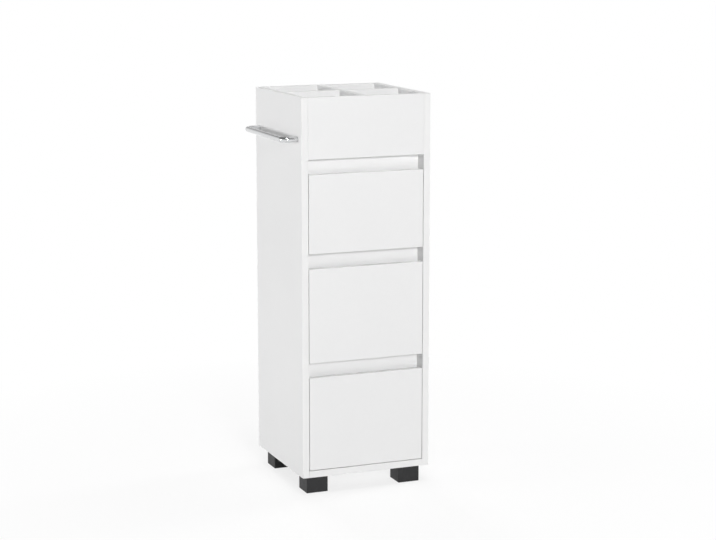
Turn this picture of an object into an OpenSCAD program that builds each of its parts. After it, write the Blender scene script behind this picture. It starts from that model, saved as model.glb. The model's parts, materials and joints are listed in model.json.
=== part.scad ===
// Bathroom storage tower: a narrow white carcass on four block feet. An open tray with a
// crossed divider is on top, three drawers on roller runners hang below it, each opened by
// the finger gap above its front, and a bent towel rail is on the left side.
// Millimetres, +Z up, the front faces -Y. The origin is on the floor, under the middle of
// the whole footprint, towel rail included.

/* [Carcass] */
// Width over the two side panels
carcass_w = 300; // [260:5:400]
// Depth of the side panels
carcass_d = 295; // [240:1:400]
// Thickness of the sides, bottom, tray floor, fronts and grip rails
board = 15; // [14:0.5:18]
// Height of the fixed front panel that closes the tray
tray_front_h = 133; // [100:1:200]
// Thickness of the back panel
back_t = 3; // [2.5:0.5:5]
// Distance from the rear edges to the back panel's rear face
back_inset = 9; // [7:0.5:12]
// Depth of the grooves that hold the back panel
back_groove = 6; // [4:0.5:8]

/* [Tray] */
// Thickness of the dividers and of the tray's rear board
divider_t = 12; // [12:0.5:15]
// Distance from the front edges to the middle of the cross divider
cross_y = 150; // [100:1:190]
// Distance from the left side's outer face to the middle of the long divider
long_x = 150; // [110:1:190]

/* [Drawers] */
// Height of the low drawer's front
low_front_h = 207.5; // [150:0.5:300]
// Height of the middle drawer's front
middle_front_h = 208; // [150:0.5:300]
// Height of the top drawer's front
top_front_h = 172; // [140:0.5:260]
// Height of the finger gap above each drawer front
grip_gap = 33; // [22:1:45]
// Depth of the finger space between a drawer front and the grip rail behind it
finger_depth = 16; // [15:1:28]
// How far a grip rail reaches below the top edge of the front before it
rail_drop = 30; // [22:1:40]
// How far a grip rail reaches behind the front above it
rail_lap = 8; // [4:1:14]
// Gap between a drawer front and each side panel
reveal = 1.25; // [1:0.25:3]
// Gap between the low drawer's front and the bottom panel
floor_gap = 1.5; // [1:0.5:4]
// Thickness of the drawer sides and backs
box_board = 12; // [12:0.5:15]
// Thickness of the drawer bottoms
box_bottom_t = 3; // [2.5:0.5:5]
// Depth of the grooves that hold the drawer bottoms
box_groove = 5; // [3:0.5:6]
// Height of a drawer bottom above the lower edge of its box
bottom_lift = 10; // [10:0.5:16]
// Gap between the top edge of a drawer box and the grip rail over it
box_top_gap = 5; // [3:0.5:12]
// Gap between the rear of a drawer box and the back panel
box_rear_gap = 18; // [8:1:50]

/* [Runners] */
// Space between a side panel and the drawer box that a runner takes up
runner_space = 12.7; // [11.5:0.1:15]
// Thickness of the runners' steel
steel_t = 1.2; // [1:0.1:1.4]
// Diameter of the rollers
roller_d = 16; // [13:0.5:19]
// Diameter of the roller pins
pin_d = 4; // [3:0.25:5]

/* [Feet] */
// Height of the feet
foot_h = 40; // [25:1:80]
// Width and depth of a foot
foot_w = 50; // [40:1:60]
// Distance from a side panel's outer face to the foot
foot_side_inset = 15; // [6:0.5:25]
// Distance from the front and rear edges to the foot
foot_end_inset = 17; // [4:0.5:25]

/* [Towel rail] */
// Diameter of the bar
rail_d = 12; // [8:0.5:16]
// Distance from the side panel to the middle of the bar
rail_standoff = 32; // [30:1:80]
// Middle radius of the bar's two bends
rail_bend = 13; // [9:0.5:14]
// Distance from the front and rear edges to the bar's ends
rail_end_in = 26; // [18:1:60]
// Height of the bar above the tray floor
rail_up = 27; // [18:1:60]

/* [Fasteners] */
// Diameter of the wooden dowels
dowel_d = 8; // [6:0.5:8]
// Length of the wooden dowels
dowel_len = 30; // [24:1:40]
// Diameter of a cam lock
cam_d = 15; // [12:0.5:15]
// Distance from a board's end to the middle of its cam lock
cam_reach = 24; // [20:1:30]
// Diameter of the small wood screws
small_screw_d = 3.2; // [2.5:0.1:3.5]
// Diameter of the foot screws and drawer back screws
large_screw_d = 4; // [3.5:0.1:4.5]

/* [Hidden] */

$fn = 48;

// Colours, as the finished pieces look.
white_board = [0.93, 0.93, 0.93];
white_steel = [0.90, 0.90, 0.89];
white_nylon = [0.95, 0.95, 0.93];
black_plastic = [0.16, 0.16, 0.17];
bright_metal = [0.78, 0.79, 0.80];
zinc = [0.66, 0.67, 0.69];
beech = [0.80, 0.66, 0.47];

// Clearances.
groove_fit = 0.15;   // each side of a panel in its groove
groove_end = 0.5;    // between a panel's edge and the bottom of its groove
hole_fit = 0.05;     // around a dowel, a bolt's thread or a screw
hole_end = 0.5;      // past the end of a dowel or screw
cam_fit = 0.1;       // around a cam lock in its bore
pin_fit = 0.05;      // around a roller pin
running_gap = 0.3;   // between a roller and the steel that runs on it
side_play = 0.1;     // between a roller and the collars beside it
runner_lift = 1;     // between a grip rail's top edge and the channel over it
lap_fit = 0.2;       // in the halving joint of the two dividers

// Heights, counted from the underside of the carcass.
front_h = [low_front_h, middle_front_h, top_front_h];
function front_z(k) = k == 0 ? board + floor_gap : front_z(k - 1) + front_h[k - 1] + grip_gap;
tray_z = front_z(2) + front_h[2] + grip_gap;
carcass_h = tray_z + tray_front_h;
tray_depth = tray_front_h - board;
function grip_z(k) = front_z(k) + front_h[k] - rail_drop;
function grip_top(k) = k == 2 ? tray_z : front_z(k + 1) + rail_lap;

// Places across and along the carcass.
inner_w = carcass_w - 2 * board;
tray_back_y = carcass_d - divider_t;
back_y = carcass_d - back_inset - back_t;
runner_len = back_y - box_rear_gap - board;
grip_y = board + finger_depth;

// Runner section: u counts from the side panel inwards, z from the channel's underside.
roller_u = 3;
roller_side = 2.5;
roller_w = runner_space - steel_t - roller_side - roller_u;
roller_r = roller_d / 2;
leg_gap = 1.1;
channel_u = runner_space - steel_t - leg_gap;
collar_r = pin_d / 2 + 1.2;
head_t = 0.8;
rear_roller_z = steel_t + running_gap + roller_r;
front_roller_z = rear_roller_z + running_gap;
flange_z = front_roller_z + roller_r + running_gap;
flange_room = 3.5;
channel_h = flange_z + steel_t + flange_room + steel_t;
lip_drop = 4;
seat_z = flange_z - lip_drop + steel_t;
leg_screw_z = bottom_lift + box_bottom_t + 4.5;
leg_h = leg_screw_z + 5;
lip_w = 9;
roller_end = 12;
channel_setback = 2;
channel_y = board + channel_setback;
front_roller_y = channel_y + roller_end;
rear_roller_y = board + runner_len - roller_end;
runner_screw_in = [38, runner_len / 2, runner_len - 45];
runner_screw_z = channel_h / 2;
runner_screw_len = 12;
leg_screw_in = [40, runner_len / 2, runner_len - 50];
leg_screw_len = 10;

// Drawer boxes.
box_w = inner_w - 2 * runner_space;
box_x = board + runner_space;
box_inner_w = box_w - 2 * box_board;
box_lift = rail_lap + runner_lift + seat_z;
function box_z(k) = front_z(k) + box_lift;
function box_h(k) = grip_z(k) - box_top_gap - box_z(k);
function channel_z(k) = box_z(k) - seat_z;
box_joint_in = 30;
back_screw_len = 40;

// Joints of the carcass. Each place is [y, z], the middle of the fitting on a side panel.
cam_y = 100;
dowel_y = 75;
joint_in = 30;
grip_joint_in = 16;
dowel_skin = 1.5;
dowel_in_face = divider_t - dowel_skin - hole_end;
cam_thread = 11;
cam_floor = 3;
cam_bolt_d = 4;
cam_head_d = 6;
cam_bolt_past = 2;
cam_end_bore_d = 7.5;
cams_under = [for (z = [board / 2, tray_z + board / 2], y = [cam_y, carcass_d - cam_y]) [y, z]];
cams_behind = concat(
  [[board / 2, tray_z + tray_front_h / 2]],
  [for (k = [0 : 2]) [grip_y + board / 2, grip_z(k) + grip_joint_in]]
);
floor_dowels = [for (z = [board / 2, tray_z + board / 2], y = [dowel_y, carcass_d - dowel_y]) [y, z]];
tray_front_dowels = [for (z = [tray_z + joint_in, carcass_h - joint_in]) [board / 2, z]];
tray_back_dowels = [
  for (z = [tray_z + board + joint_in, carcass_h - joint_in]) [carcass_d - divider_t / 2, z]
];
grip_dowels = [for (k = [0 : 2]) [grip_y + board / 2, grip_top(k) - grip_joint_in]];
divider_dowel_z = tray_z + board + tray_depth / 2;
side_dowels = concat(
  floor_dowels, tray_front_dowels, tray_back_dowels, grip_dowels, [[cross_y, divider_dowel_z]]
);

// Feet and towel rail.
foot_round = 2;
foot_web = 14;
foot_bore_d = 10;
foot_screw_out = 14;
foot_screw_len = 25;
rail_z = tray_z + board + rail_up;
rail_ends = [rail_end_in, carcass_d - rail_end_in];
rail_tap = 16;
rail_screw_d = 4;
rail_reach = rail_standoff + rail_d / 2;

// ---------------------------------------------------------------- helpers

// Carries carcass places to the part's own frame.
module in_place() {
  translate([-(carcass_w - rail_reach) / 2, -carcass_d / 2, foot_h]) children();
}

module block(at, size) {
  translate(at) cube(size);
}

// Turns a shape drawn along +Z so that it points along +X, -X, +Y or -Y.
module along_x() { rotate([0, 90, 0]) children(); }
module against_x() { rotate([0, -90, 0]) children(); }
module along_y() { rotate([-90, 0, 0]) children(); }
module against_y() { rotate([90, 0, 0]) children(); }

// The same thing on the left side panel and, mirrored, on the right one.
module on_right() {
  translate([carcass_w, 0, 0]) mirror([1, 0, 0]) children();
}
module on_both_sides() {
  children();
  on_right() children();
}

// A countersunk wood screw, head flush at z = 0, tip up. The hole is the same shape with
// a little room around it.
module screw_shape(length, d, room, end_room) {
  r = d / 2 + room;
  head_r = d + room;
  tip = length + end_room;
  rotate_extrude()
    polygon([
      [0, -room], [head_r, -room], [head_r, 0], [r, d * 0.6], [r, tip - d], [0.3, tip], [0, tip]
    ]);
}
module screw(length, d) { screw_shape(length, d, 0, 0); }
module screw_hole(length, d) { screw_shape(length, d, hole_fit, hole_end); }

module dowel() {
  chamfer = 1;
  r = dowel_d / 2 - hole_fit;
  rotate_extrude()
    polygon([
      [0, -dowel_in_face], [r - chamfer, -dowel_in_face], [r, chamfer - dowel_in_face],
      [r, dowel_len - dowel_in_face - chamfer], [r - chamfer, dowel_len - dowel_in_face],
      [0, dowel_len - dowel_in_face]
    ]);
}
module dowel_hole() {
  translate([0, 0, -dowel_in_face - hole_end])
    cylinder(d = dowel_d, h = dowel_len + 2 * hole_end);
}

// A cam bolt stands in a board's face at z = 0 and points up into the other board's end.
module cam_bolt() {
  thread_r = cam_bolt_d / 2 + 0.4;
  collar = 1.5;
  neck_z = cam_reach - cam_d / 2 + 1;
  head_z = cam_reach + cam_bolt_past - 4;
  rotate_extrude()
    polygon([
      [0, -cam_thread], [thread_r - 1, -cam_thread], [thread_r, 1 - cam_thread], [thread_r, 0],
      [thread_r + 0.8, 0], [thread_r + 0.8, collar], [cam_bolt_d / 2, collar],
      [cam_bolt_d / 2, neck_z], [cam_bolt_d / 2 - 0.5, neck_z], [cam_bolt_d / 2 - 0.5, head_z],
      [cam_head_d / 2, head_z], [cam_head_d / 2, head_z + 3], [cam_head_d / 2 - 1, head_z + 4],
      [0, head_z + 4]
    ]);
}
module cam_bolt_hole() {
  translate([0, 0, -cam_thread - hole_end])
    cylinder(r = cam_bolt_d / 2 + 0.4 + hole_fit, h = cam_thread + hole_end + 1);
}
// The bore that lets the bolt in through the end of a board, past the end of its head.
module cam_end_bore() {
  translate([0, 0, -1]) cylinder(d = cam_end_bore_d, h = cam_reach + cam_bolt_past + hole_end + 1);
}
// The lock is drawn from its open face at z = 0 downwards; the bolt comes in along -X.
module cam_lock(thickness) {
  h = thickness - cam_floor;
  slot = [7, 1.2, 1.8];
  difference() {
    translate([0, 0, -h]) cylinder(d = cam_d - 2 * cam_fit, h = h);
    translate([-cam_d, 0, -thickness / 2]) along_x() cylinder(d = cam_head_d + 0.4, h = cam_d + 3);
    for (turn = [0, 90])
      rotate([0, 0, turn])
        translate([-slot[0] / 2, -slot[1] / 2, -slot[2]]) cube([slot[0], slot[1], slot[2] + 1]);
  }
}
module cam_bore(thickness) {
  translate([0, 0, -(thickness - cam_floor) - cam_fit])
    cylinder(d = cam_d, h = thickness - cam_floor + cam_fit + 1);
}

// ---------------------------------------------------------------- carcass

// Everything that is drilled into a side panel's inner face, at x = board.
module side_holes() {
  for (p = side_dowels) translate([board, p[0], p[1]]) along_x() dowel_hole();
  for (p = concat(cams_under, cams_behind))
    translate([board, p[0], p[1]]) along_x() cam_bolt_hole();
  for (k = [0 : 2]) at_channel(k) channel_screws() screw_hole(runner_screw_len, small_screw_d);
}

module side_panel() {
  difference() {
    block([0, 0, 0], [board, carcass_d, carcass_h]);
    block([board - back_groove, back_y - groove_fit, board - back_groove],
          [back_groove + 1, back_t + 2 * groove_fit, tray_z + 2 * back_groove - board]);
    side_holes();
  }
}

module side_panel_left() {
  color(white_board) in_place()
    difference() {
      side_panel();
      for (y = rail_ends)
        translate([-1, y, rail_z]) along_x() cylinder(d = rail_screw_d + 4 * hole_fit, h = board + 2);
    }
}

module side_panel_right() {
  color(white_board) in_place() on_right() side_panel();
}

// Bores for the fittings in both ends of a board that spans the two side panels.
module end_dowel_holes(places) {
  on_both_sides()
    for (p = places) translate([board, p[0], p[1]]) along_x() dowel_hole();
}
module end_cam_bores_under(places) {
  on_both_sides()
    for (p = places) {
      translate([board, p[0], p[1]]) along_x() cam_end_bore();
      translate([board + cam_reach, p[0], p[1] - board / 2]) rotate([180, 0, 0]) cam_bore(board);
    }
}
module end_cam_bores_behind(places) {
  on_both_sides()
    for (p = places) {
      translate([board, p[0], p[1]]) along_x() cam_end_bore();
      translate([board + cam_reach, p[0] + board / 2, p[1]]) along_y() cam_bore(board);
    }
}

module bottom_panel() {
  color(white_board) in_place()
    difference() {
      block([board, 0, 0], [inner_w, carcass_d, board]);
      block([board - 1, back_y - groove_fit, board - back_groove],
            [inner_w + 2, back_t + 2 * groove_fit, back_groove + 1]);
      end_dowel_holes([floor_dowels[0], floor_dowels[1]]);
      end_cam_bores_under([cams_under[0], cams_under[1]]);
      at_foot_screws() screw_hole(foot_screw_len, large_screw_d);
    }
}

module tray_floor() {
  color(white_board) in_place()
    difference() {
      block([board, board, tray_z], [inner_w, carcass_d - board, board]);
      block([board - 1, back_y - groove_fit, tray_z - 1],
            [inner_w + 2, back_t + 2 * groove_fit, back_groove + 1]);
      end_dowel_holes([floor_dowels[2], floor_dowels[3]]);
      end_cam_bores_under([cams_under[2], cams_under[3]]);
    }
}

module tray_front() {
  color(white_board) in_place()
    difference() {
      block([board, 0, tray_z], [inner_w, board, tray_front_h]);
      end_dowel_holes(tray_front_dowels);
      end_cam_bores_behind([cams_behind[0]]);
      translate([long_x, board, divider_dowel_z]) along_y() dowel_hole();
    }
}

module tray_back() {
  color(white_board) in_place()
    difference() {
      block([board, tray_back_y, tray_z + board], [inner_w, divider_t, tray_depth]);
      end_dowel_holes(tray_back_dowels);
      translate([long_x, tray_back_y, divider_dowel_z]) against_y() dowel_hole();
    }
}

module back_panel() {
  into = back_groove - groove_end;
  color(white_board) in_place()
    block([board - into, back_y, board - into],
          [inner_w + 2 * into, back_t, tray_z - board + 2 * into]);
}

// The long divider runs from front to back and is notched from above; the cross divider
// runs from side to side and is notched from below.
module divider_long() {
  color(white_board) in_place()
    difference() {
      block([long_x - divider_t / 2, board, tray_z + board],
            [divider_t, tray_back_y - board, tray_depth]);
      block([long_x - divider_t, cross_y - divider_t / 2 - lap_fit, tray_z + board + tray_depth / 2],
            [2 * divider_t, divider_t + 2 * lap_fit, tray_depth]);
      translate([long_x, board, divider_dowel_z]) along_y() dowel_hole();
      translate([long_x, tray_back_y, divider_dowel_z]) against_y() dowel_hole();
    }
}

module divider_cross() {
  color(white_board) in_place()
    difference() {
      block([board, cross_y - divider_t / 2, tray_z + board], [inner_w, divider_t, tray_depth]);
      block([long_x - divider_t / 2 - lap_fit, cross_y - divider_t, tray_z + board - 1],
            [divider_t + 2 * lap_fit, 2 * divider_t, tray_depth / 2 + 1]);
      end_dowel_holes([[cross_y, divider_dowel_z]]);
    }
}

// A fixed rail behind each finger gap: fingers reach over the drawer front and stop at it.
module grip_rail(k) {
  color(white_board) in_place()
    difference() {
      block([board, grip_y, grip_z(k)], [inner_w, board, grip_top(k) - grip_z(k)]);
      end_dowel_holes([grip_dowels[k]]);
      end_cam_bores_behind([cams_behind[k + 1]]);
    }
}
module grip_rail_low() { grip_rail(0); }
module grip_rail_middle() { grip_rail(1); }
module grip_rail_top() { grip_rail(2); }

module carcass_dowels() {
  color(beech) in_place() {
    on_both_sides()
      for (p = side_dowels) translate([board, p[0], p[1]]) along_x() dowel();
    translate([long_x, board, divider_dowel_z]) along_y() dowel();
    translate([long_x, tray_back_y, divider_dowel_z]) against_y() dowel();
  }
}

module cam_bolts() {
  color(zinc) in_place() on_both_sides()
    for (p = concat(cams_under, cams_behind)) translate([board, p[0], p[1]]) along_x() cam_bolt();
}

module cam_locks() {
  color(zinc) in_place() on_both_sides() {
    for (p = cams_under)
      translate([board + cam_reach, p[0], p[1] - board / 2]) rotate([180, 0, 0]) cam_lock(board);
    for (p = cams_behind)
      translate([board + cam_reach, p[0] + board / 2, p[1]]) along_y() cam_lock(board);
  }
}

// ---------------------------------------------------------------- feet

// Carries a foot, drawn with its front left corner at the origin, to one corner.
module at_foot(right, rear) {
  translate([
    right ? carcass_w - foot_side_inset - foot_w : foot_side_inset,
    rear ? carcass_d - foot_end_inset - foot_w : foot_end_inset,
    -foot_h
  ]) children();
}

module foot_screw_places() {
  for (dy = [-foot_screw_out, foot_screw_out])
    translate([foot_w / 2, foot_w / 2 + dy, foot_h - foot_web]) children();
}

module at_foot_screws() {
  for (right = [false, true], rear = [false, true])
    at_foot(right, rear) foot_screw_places() children();
}

module foot(right, rear) {
  r = foot_round;
  color(black_plastic) in_place() at_foot(right, rear)
    difference() {
      union() {
        block([r, 0, 0], [foot_w - 2 * r, foot_w, foot_h]);
        block([0, r, 0], [foot_w, foot_w - 2 * r, foot_h]);
        for (x = [r, foot_w - r], y = [r, foot_w - r]) translate([x, y, 0]) cylinder(r = r, h = foot_h);
      }
      foot_screw_places() {
        screw_hole(foot_screw_len, large_screw_d);
        translate([0, 0, -foot_h]) cylinder(d = foot_bore_d, h = foot_h);
      }
    }
}
module foot_front_left() { foot(false, false); }
module foot_front_right() { foot(true, false); }
module foot_back_left() { foot(false, true); }
module foot_back_right() { foot(true, true); }

module foot_screws() {
  color(zinc) in_place() at_foot_screws() screw(foot_screw_len, large_screw_d);
}

// ---------------------------------------------------------------- towel rail

// One arm stands out from the side panel at y; its end is tapped for a screw.
module rail_arm(y) {
  difference() {
    translate([0, y, rail_z]) against_x() cylinder(d = rail_d, h = rail_standoff - rail_bend);
    translate([1, y, rail_z]) against_x() cylinder(d = rail_screw_d + 2 * hole_fit, h = rail_tap + 1);
  }
}

// A quarter bend about a vertical axis at y, over the angles start to start + 90.
module rail_corner(y, start) {
  translate([rail_bend - rail_standoff, y, rail_z]) rotate([0, 0, start])
    rotate_extrude(angle = 90) translate([rail_bend, 0]) circle(d = rail_d);
}

module towel_rail() {
  bends = [rail_ends[0] + rail_bend, rail_ends[1] - rail_bend];
  color(bright_metal) in_place() {
    for (y = rail_ends) rail_arm(y);
    rail_corner(bends[0], 180);
    rail_corner(bends[1], 90);
    translate([-rail_standoff, bends[0], rail_z]) along_y() cylinder(d = rail_d, h = bends[1] - bends[0]);
  }
}

// Pan-head screws go through the side panel from inside the tray into the bar's ends.
module towel_rail_screws() {
  head_r = rail_screw_d;
  head_h = 2.4;
  slot = [1, head_r * 2 + 1, 1.2];
  color(zinc) in_place()
    for (y = rail_ends) translate([board, y, rail_z])
      difference() {
        union() {
          along_x() cylinder(r1 = head_r, r2 = head_r - 1, h = head_h);
          against_x() cylinder(d = rail_screw_d, h = board + rail_tap - hole_end);
        }
        translate([head_h - slot[2], -slot[1] / 2, -slot[0] / 2]) cube([slot[2] + 1, slot[1], slot[0]]);
      }
}

// ---------------------------------------------------------------- runners

// Countersunk screw places along a channel: heads on the web's inner face.
module channel_screws() {
  for (y = runner_screw_in) translate([steel_t, channel_y + y, runner_screw_z]) against_x() children();
}

// The channel on the side panel, with the front roller's pin. x = 0 is the panel's face
// and z = 0 is the channel's underside.
module channel() {
  difference() {
    union() {
      block([0, channel_y, 0], [steel_t, runner_len, channel_h]);
      block([0, channel_y, 0], [channel_u, runner_len, steel_t]);
      block([0, channel_y, channel_h - steel_t], [channel_u, runner_len, steel_t]);
      translate([steel_t / 2, front_roller_y, front_roller_z]) along_x() {
        cylinder(r = collar_r, h = roller_u - side_play - steel_t / 2);
        cylinder(d = pin_d, h = roller_u + roller_w - steel_t / 2 + side_play + head_t);
        translate([0, 0, roller_u + roller_w + side_play - steel_t / 2])
          cylinder(r = collar_r, h = head_t);
      }
    }
    channel_screws() screw_hole(runner_screw_len, small_screw_d);
  }
}

// The rail under a drawer's side, with the rear roller's pin, in the same section frame.
// Its leg stands against the box side and its lip passes under it.
module box_runner() {
  leg_u = runner_space - steel_t;
  tab_y = board + runner_len - 2 * roller_end;
  tab_z = rear_roller_z - collar_r - steel_t;
  lip_z = seat_z - steel_t;
  head_u = roller_u - side_play;
  flange_u = roller_u - head_t;
  difference() {
    union() {
      block([leg_u, board, lip_z], [steel_t, runner_len, leg_h + steel_t]);
      block([leg_u, board, lip_z], [steel_t + lip_w, runner_len, steel_t]);
      block([flange_u, board, flange_z], [leg_u + steel_t / 2 - flange_u, runner_len, steel_t]);
      block([leg_u, tab_y, tab_z], [steel_t, 2 * roller_end, seat_z - tab_z]);
      translate([leg_u + steel_t / 2, rear_roller_y, rear_roller_z]) against_x() {
        cylinder(r = collar_r, h = leg_u + steel_t / 2 - roller_u - roller_w - side_play);
        cylinder(d = pin_d, h = leg_u + steel_t / 2 - head_u + head_t);
        translate([0, 0, leg_u + steel_t / 2 - head_u]) cylinder(r = collar_r, h = head_t);
      }
    }
    leg_screws() screw_hole(leg_screw_len, small_screw_d);
  }
}

// Countersunk screw places along a drawer's runner: heads on the leg's outer face.
module leg_screws() {
  for (y = leg_screw_in)
    translate([runner_space - steel_t, board + y, seat_z + leg_screw_z]) along_x() children();
}

module roller() {
  edge = 0.6;
  bore_r = pin_d / 2 + pin_fit;
  along_x() rotate_extrude()
    polygon([
      [bore_r, 0], [roller_r - edge, 0], [roller_r, edge], [roller_r, roller_w - edge],
      [roller_r - edge, roller_w], [bore_r, roller_w]
    ]);
}

// Carries the section frame of drawer k's runner to the left side panel.
module at_channel(k) {
  translate([board, 0, channel_z(k)]) children();
}

module runner_left(k) {
  color(white_steel) in_place() at_channel(k) channel();
}
module runner_right(k) {
  color(white_steel) in_place() on_right() at_channel(k) channel();
}
module runner_low_left() { runner_left(0); }
module runner_low_right() { runner_right(0); }
module runner_middle_left() { runner_left(1); }
module runner_middle_right() { runner_right(1); }
module runner_top_left() { runner_left(2); }
module runner_top_right() { runner_right(2); }

module runner_screws() {
  color(zinc) in_place() on_both_sides()
    for (k = [0 : 2]) at_channel(k) channel_screws() screw(runner_screw_len, small_screw_d);
}

module runner_rollers(k) {
  color(white_nylon) in_place() on_both_sides() at_channel(k)
    translate([roller_u, front_roller_y, front_roller_z]) roller();
}
module runner_rollers_low() { runner_rollers(0); }
module runner_rollers_middle() { runner_rollers(1); }
module runner_rollers_top() { runner_rollers(2); }

// ---------------------------------------------------------------- drawers

// Heights of the fittings in drawer k's box corners.
function box_joints(k) = [box_z(k) + box_joint_in, box_z(k) + box_h(k) - box_joint_in];

// The space that drawer k's bottom takes up, grown by room all round.
module bottom_space(k, room, end_room) {
  x = box_x + box_board - box_groove + groove_end - end_room;
  y = board - box_groove + groove_end - end_room;
  rear = board + runner_len - box_board + box_groove - groove_end + end_room;
  block([x, y, box_z(k) + bottom_lift - room],
        [carcass_w - 2 * x, rear - y, box_bottom_t + 2 * room]);
}
module bottom_groove(k) { bottom_space(k, groove_fit, groove_end); }

// Places of the four cam fittings on the front's rear face, pointing into the box sides.
module front_joints(k) {
  on_both_sides()
    for (z = box_joints(k)) translate([box_x + box_board / 2, board, z]) along_y() children();
}

// The cam locks' places on the inner faces of the box sides.
module side_locks(k) {
  on_both_sides()
    for (z = box_joints(k))
      translate([box_x + box_board, board + cam_reach, z]) along_x() rotate([0, 0, 90]) children();
}

// Screw places through the box sides into the ends of the back.
module back_joints(k) {
  on_both_sides()
    for (z = box_joints(k))
      translate([box_x, board + runner_len - box_board / 2, z]) along_x() children();
}

module drawer_front(k) {
  color(white_board) in_place()
    difference() {
      block([board + reveal, 0, front_z(k)], [inner_w - 2 * reveal, board, front_h[k]]);
      bottom_groove(k);
      front_joints(k) cam_bolt_hole();
    }
}

module drawer_side(k) {
  difference() {
    block([box_x, board, box_z(k)], [box_board, runner_len, box_h(k)]);
    bottom_groove(k);
    front_joints(k) cam_end_bore();
    side_locks(k) cam_bore(box_board);
    back_joints(k) screw_hole(back_screw_len, large_screw_d);
    at_channel(k) leg_screws() screw_hole(leg_screw_len, small_screw_d);
  }
}
module drawer_side_left(k) {
  color(white_board) in_place() drawer_side(k);
}
module drawer_side_right(k) {
  color(white_board) in_place() on_right() drawer_side(k);
}

module drawer_back(k) {
  color(white_board) in_place()
    difference() {
      block([box_x + box_board, board + runner_len - box_board, box_z(k)],
            [box_inner_w, box_board, box_h(k)]);
      bottom_groove(k);
      back_joints(k) screw_hole(back_screw_len, large_screw_d);
    }
}

module drawer_bottom(k) {
  color(white_board) in_place() bottom_space(k, 0, 0);
}

module drawer_runner_left(k) {
  color(white_steel) in_place() at_channel(k) box_runner();
}
module drawer_runner_right(k) {
  color(white_steel) in_place() on_right() at_channel(k) box_runner();
}

module drawer_rollers(k) {
  color(white_nylon) in_place() on_both_sides() at_channel(k)
    translate([roller_u, rear_roller_y, rear_roller_z]) roller();
}

module drawer_fixings(k) {
  color(zinc) in_place() {
    front_joints(k) cam_bolt();
    side_locks(k) cam_lock(box_board);
    back_joints(k) screw(back_screw_len, large_screw_d);
    on_both_sides() at_channel(k) leg_screws() screw(leg_screw_len, small_screw_d);
  }
}

module drawer_low_front() { drawer_front(0); }
module drawer_low_side_left() { drawer_side_left(0); }
module drawer_low_side_right() { drawer_side_right(0); }
module drawer_low_back() { drawer_back(0); }
module drawer_low_bottom() { drawer_bottom(0); }
module drawer_low_runner_left() { drawer_runner_left(0); }
module drawer_low_runner_right() { drawer_runner_right(0); }
module drawer_low_rollers() { drawer_rollers(0); }
module drawer_low_fixings() { drawer_fixings(0); }
module drawer_middle_front() { drawer_front(1); }
module drawer_middle_side_left() { drawer_side_left(1); }
module drawer_middle_side_right() { drawer_side_right(1); }
module drawer_middle_back() { drawer_back(1); }
module drawer_middle_bottom() { drawer_bottom(1); }
module drawer_middle_runner_left() { drawer_runner_left(1); }
module drawer_middle_runner_right() { drawer_runner_right(1); }
module drawer_middle_rollers() { drawer_rollers(1); }
module drawer_middle_fixings() { drawer_fixings(1); }
module drawer_top_front() { drawer_front(2); }
module drawer_top_side_left() { drawer_side_left(2); }
module drawer_top_side_right() { drawer_side_right(2); }
module drawer_top_back() { drawer_back(2); }
module drawer_top_bottom() { drawer_bottom(2); }
module drawer_top_runner_left() { drawer_runner_left(2); }
module drawer_top_runner_right() { drawer_runner_right(2); }
module drawer_top_rollers() { drawer_rollers(2); }
module drawer_top_fixings() { drawer_fixings(2); }

side_panel_left();
side_panel_right();
bottom_panel();
tray_floor();
tray_front();
tray_back();
back_panel();
divider_long();
divider_cross();
grip_rail_low();
grip_rail_middle();
grip_rail_top();
towel_rail();
towel_rail_screws();
foot_front_left();
foot_front_right();
foot_back_left();
foot_back_right();
foot_screws();
carcass_dowels();
cam_bolts();
cam_locks();
runner_low_left();
runner_low_right();
runner_middle_left();
runner_middle_right();
runner_top_left();
runner_top_right();
runner_screws();
runner_rollers_low();
runner_rollers_middle();
runner_rollers_top();
drawer_low_front();
drawer_low_side_left();
drawer_low_side_right();
drawer_low_back();
drawer_low_bottom();
drawer_low_runner_left();
drawer_low_runner_right();
drawer_low_rollers();
drawer_low_fixings();
drawer_middle_front();
drawer_middle_side_left();
drawer_middle_side_right();
drawer_middle_back();
drawer_middle_bottom();
drawer_middle_runner_left();
drawer_middle_runner_right();
drawer_middle_rollers();
drawer_middle_fixings();
drawer_top_front();
drawer_top_side_left();
drawer_top_side_right();
drawer_top_back();
drawer_top_bottom();
drawer_top_runner_left();
drawer_top_runner_right();
drawer_top_rollers();
drawer_top_fixings();
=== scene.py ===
# %% [markdown]
# # A bathroom storage tower
#
# The object is a narrow white tower of faced chipboard. It stands on four black feet, has
# an open divided tray on top, three drawers on roller runners and a towel rail on its left
# side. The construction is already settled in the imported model, at its real size. This
# notebook gives every piece the edges, fittings and finishes that the real one has.

# %% Load the frame
import json
from math import atan2, cos, radians, sin, tau

import bmesh
import bpy
from mathutils import Matrix, Vector

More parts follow.
